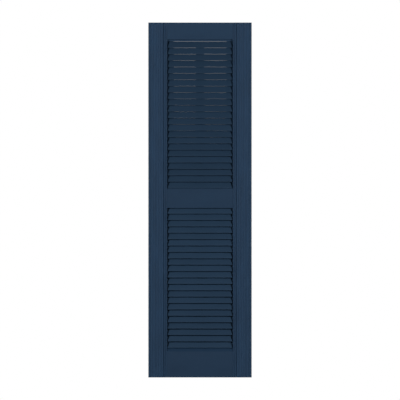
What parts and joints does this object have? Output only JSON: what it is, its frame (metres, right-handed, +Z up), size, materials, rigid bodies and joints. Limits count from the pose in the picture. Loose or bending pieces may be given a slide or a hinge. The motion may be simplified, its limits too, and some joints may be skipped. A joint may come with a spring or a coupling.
{
  "type": "louvred shutter",
  "caption": "Tall dark blue exterior shutter panel with fixed louvres in an upper and a lower field between hollow stiles and rails.",
  "frame": {"origin": "middle of the back, which lies against the wall, half way across and half way up", "axes": "+X across the shutter to the right as seen from the front, +Y out of the back into the wall, +Z up; the front faces -Y"},
  "size_m": [0.381, 0.028, 1.308],
  "materials": {
    "stile_paint": "satin navy blue with an embossed upright wood grain",
    "rail_paint": "satin navy blue, nearly smooth",
    "slat_paint": "satin navy blue, nearly smooth",
    "bar_paint": "matt navy blue",
    "block_plastic": "unpainted grey plastic",
    "screw_zinc": "bright zinc plate"
  },
  "bodies": {
    "root": {"stile_left": "stile_paint", "stile_right": "stile_paint", "rail_top": "rail_paint", "rail_mid": "rail_paint", "rail_bottom": "rail_paint", "slat_upper_01": "slat_paint", "slat_upper_02": "slat_paint", "slat_upper_03": "slat_paint", "slat_upper_04": "slat_paint", "slat_upper_05": "slat_paint", "slat_upper_06": "slat_paint", "slat_upper_07": "slat_paint", "slat_upper_08": "slat_paint", "slat_upper_09": "slat_paint", "slat_upper_10": "slat_paint", "slat_upper_11": "slat_paint", "slat_upper_12": "slat_paint", "slat_upper_13": "slat_paint", "slat_upper_14": "slat_paint", "slat_upper_15": "slat_paint", "slat_upper_16": "slat_paint", "slat_upper_17": "slat_paint", "slat_upper_18": "slat_paint", "slat_upper_19": "slat_paint", "slat_upper_20": "slat_paint", "slat_upper_21": "slat_paint", "slat_upper_22": "slat_paint", "slat_upper_23": "slat_paint", "slat_lower_01": "slat_paint", "slat_lower_02": "slat_paint", "slat_lower_03": "slat_paint", "slat_lower_04": "slat_paint", "slat_lower_05": "slat_paint", "slat_lower_06": "slat_paint", "slat_lower_07": "slat_paint", "slat_lower_08": "slat_paint", "slat_lower_09": "slat_paint", "slat_lower_10": "slat_paint", "slat_lower_11": "slat_paint", "slat_lower_12": "slat_paint", "slat_lower_13": "slat_paint", "slat_lower_14": "slat_paint", "slat_lower_15": "slat_paint", "slat_lower_16": "slat_paint", "slat_lower_17": "slat_paint", "slat_lower_18": "slat_paint", "slat_lower_19": "slat_paint", "slat_lower_20": "slat_paint", "slat_lower_21": "slat_paint", "slat_lower_22": "slat_paint", "bar_upper_left": "bar_paint", "bar_upper_mid": "bar_paint", "bar_upper_right": "bar_paint", "bar_lower_left": "bar_paint", "bar_lower_mid": "bar_paint", "bar_lower_right": "bar_paint", "stile_caps": "stile_paint", "rail_tenons": "block_plastic", "tenon_screws": "screw_zinc", "bar_screws": "screw_zinc"}
  },
  "joints": []
}
